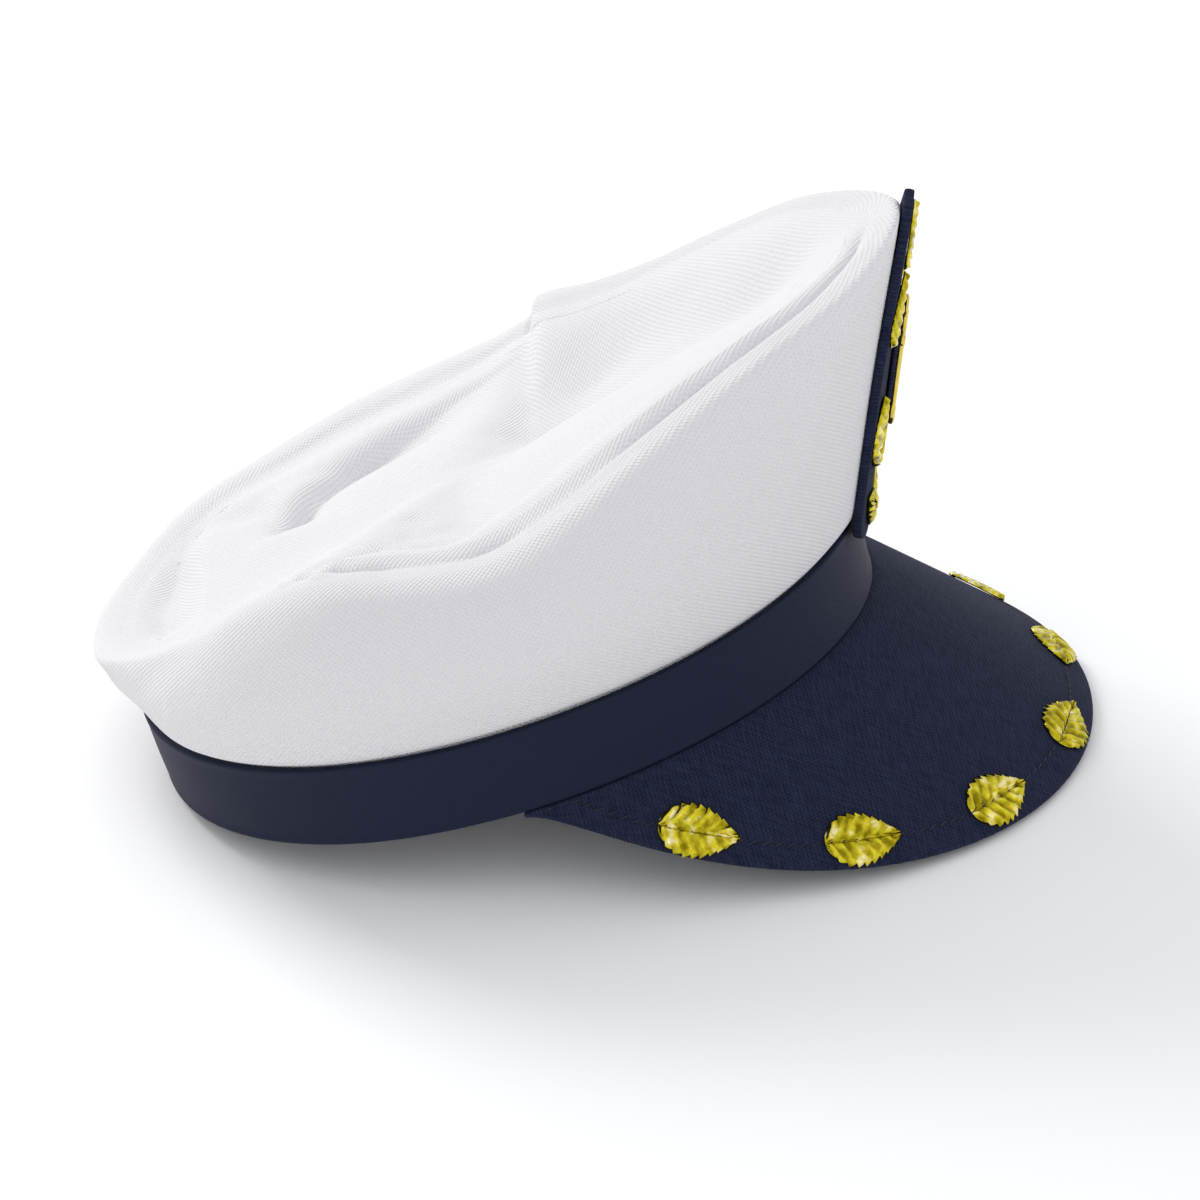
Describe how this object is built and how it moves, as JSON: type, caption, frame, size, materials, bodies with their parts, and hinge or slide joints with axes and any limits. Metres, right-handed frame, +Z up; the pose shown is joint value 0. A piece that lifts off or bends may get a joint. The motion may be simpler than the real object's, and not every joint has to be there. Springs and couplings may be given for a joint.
{
  "type": "peaked captain cap",
  "caption": "Soft white costume captain cap with a navy band, a sloping peak with gold leaves, and a front board with a gold wreath and an anchor.",
  "frame": {"origin": "middle of the hat's box, on the surface it rests on", "axes": "+Z up from the surface, -Y to the front where the peak is, +Y to the back, X across the head"},
  "size_m": [0.1876, 0.2704, 0.15],
  "materials": {
    "white_cloth": "plain weave",
    "navy_satin": "satin ribbon",
    "navy_twill": "twill",
    "gold_foil": "embossed metallic foil",
    "gold_metal": "cast and polished"
  },
  "bodies": {
    "root": {"crown_side": "white_cloth", "crown_top": "white_cloth", "band": "navy_satin", "peak": "navy_twill", "peak_leaf_1": "gold_foil", "peak_leaf_2": "gold_foil", "peak_leaf_3": "gold_foil", "peak_leaf_4": "gold_foil", "peak_leaf_5": "gold_foil", "peak_leaf_6": "gold_foil", "peak_leaf_7": "gold_foil", "peak_leaf_8": "gold_foil", "front_board": "navy_twill", "board_leaf_1": "gold_foil", "board_leaf_2": "gold_foil", "board_leaf_3": "gold_foil", "board_leaf_4": "gold_foil", "board_leaf_5": "gold_foil", "board_leaf_6": "gold_foil", "board_leaf_7": "gold_foil", "badge_patch": "navy_twill", "anchor_badge": "gold_metal"}
  },
  "joints": []
}
